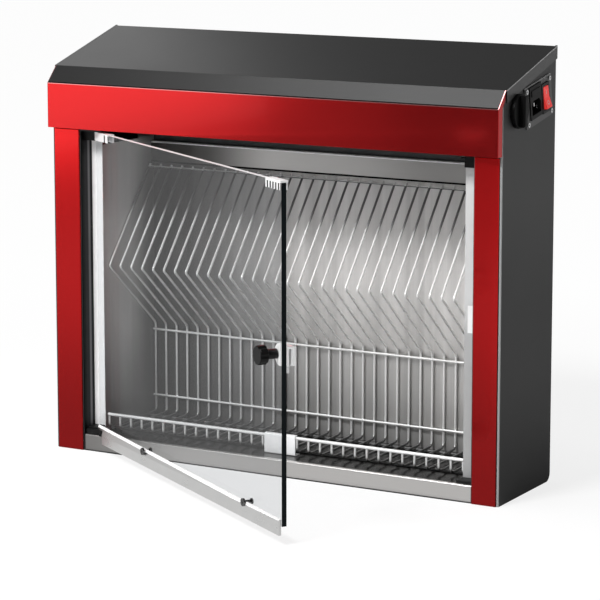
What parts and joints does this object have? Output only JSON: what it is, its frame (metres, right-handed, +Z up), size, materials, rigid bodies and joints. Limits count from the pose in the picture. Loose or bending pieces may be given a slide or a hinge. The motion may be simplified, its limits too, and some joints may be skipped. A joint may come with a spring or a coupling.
{
  "type": "knife sterilizer cabinet",
  "caption": "Wall or counter knife sterilizer cabinet: folded steel case, stainless chamber with wire rack, one left-hinged glass door, lamp hood with timer.",
  "frame": {"origin": "centre of the base's underside", "axes": "+X to the right seen from the front, +Y to the rear (the wall), +Z up"},
  "size_m": [0.6139, 0.4244, 0.5113],
  "materials": {
    "red_paint": "gloss red paint on sheet steel",
    "dark_paint": "satin charcoal paint on sheet steel",
    "black_paint": "gloss black paint",
    "stainless": "brushed stainless sheet",
    "wire": "bright drawn stainless wire",
    "glass": "smoke-tinted safety glass",
    "black_plastic": "moulded black plastic",
    "gloss_black_plastic": "moulded black plastic, semi-gloss",
    "red_plastic": "moulded red plastic",
    "white_plastic": "moulded white plastic",
    "bright_metal": "bright plated metal",
    "zinc": "zinc-plated steel",
    "lamp_glass": "clear quartz lamp glass"
  },
  "bodies": {
    "cabinet": {"side_panel_left": "dark_paint", "side_panel_right": "dark_paint", "back_panel": "dark_paint", "base_panel": "dark_paint", "roof": "dark_paint", "fascia": "red_paint", "header_rail": "black_paint", "stile_left": "red_paint", "stile_right": "red_paint", "sill": "stainless", "chamber_floor": "stainless", "liner_back": "stainless", "liner_left": "stainless", "liner_right": "stainless", "jamb_left": "stainless", "jamb_right": "stainless", "rear_baffle": "stainless", "top_pivot_plate": "black_paint", "bottom_pivot_block": "black_plastic", "corner_block_top_left": "black_plastic", "corner_block_top_right": "black_plastic", "corner_block_bottom_right": "black_plastic", "strike_plate": "bright_metal", "strike_screws": "bright_metal", "door_switch": "black_plastic", "rack_wires": "wire", "rack_rails": "wire", "rack_clip": "stainless", "lamp_tray": "stainless", "uv_lamp_tube": "lamp_glass", "uv_lamp_caps": "zinc", "lampholders": "white_plastic", "ballast": "zinc", "starter_socket": "white_plastic", "starter": "white_plastic", "terminal_block": "white_plastic", "side_plate": "dark_paint", "side_plate_screws": "bright_metal", "mains_inlet": "black_plastic", "inlet_blades": "bright_metal", "rocker_bezel": "gloss_black_plastic", "timer_body": "white_plastic"},
    "door": {"door_glass": "glass", "door_rail": "bright_metal", "door_rail_backing": "bright_metal", "door_rail_screws": "bright_metal", "hinge_clip": "bright_metal", "corner_clip": "bright_metal", "top_pivot_pin": "bright_metal", "bottom_pivot_pin": "bright_metal", "lock_plate": "bright_metal", "lock_case": "bright_metal"},
    "latch": {"knob": "gloss_black_plastic", "latch_spindle": "zinc", "latch_cam": "bright_metal"},
    "timer": {"timer_shaft": "zinc", "timer_knob": "gloss_black_plastic"},
    "rocker": {"rocker": "red_plastic"},
    "fuse_drawer": {"fuse_drawer": "black_plastic"},
    "door_switch_button": {"door_switch_plunger": "black_plastic"}
  },
  "joints": [
    {"name": "door_hinge", "type": "hinge", "parent": "cabinet", "child": "door", "pos_m": [-0.2342, -0.0677, 0.2], "axis": [0, 0, -1], "range_deg": [-32.9, 82.1]},
    {"name": "knob_turn", "type": "hinge", "parent": "door", "child": "latch", "pos_m": [0.16126, -0.32354, 0.209], "axis": [-0.5432, -0.8396, 0], "range_deg": [0, 90]},
    {"name": "timer_turn", "type": "hinge", "parent": "cabinet", "child": "timer", "pos_m": [0.3, -0.0355, 0.446], "axis": [1, 0, 0], "range_deg": [-300, 0]},
    {"name": "rocker_tilt", "type": "hinge", "parent": "cabinet", "child": "rocker", "pos_m": [0.3011, 0.03834, 0.45455], "axis": [0, 0.9848, 0.1736], "range_deg": [0, 18]},
    {"name": "fuse_drawer_slide", "type": "slide", "parent": "cabinet", "child": "fuse_drawer", "axis": [1, 0, 0], "range_m": [0, 0.014]},
    {"name": "door_switch_push", "type": "slide", "parent": "cabinet", "child": "door_switch_button", "axis": [0, 1, 0], "range_m": [0, 0.003], "stiffness_N_per_m": 150}
  ]
}
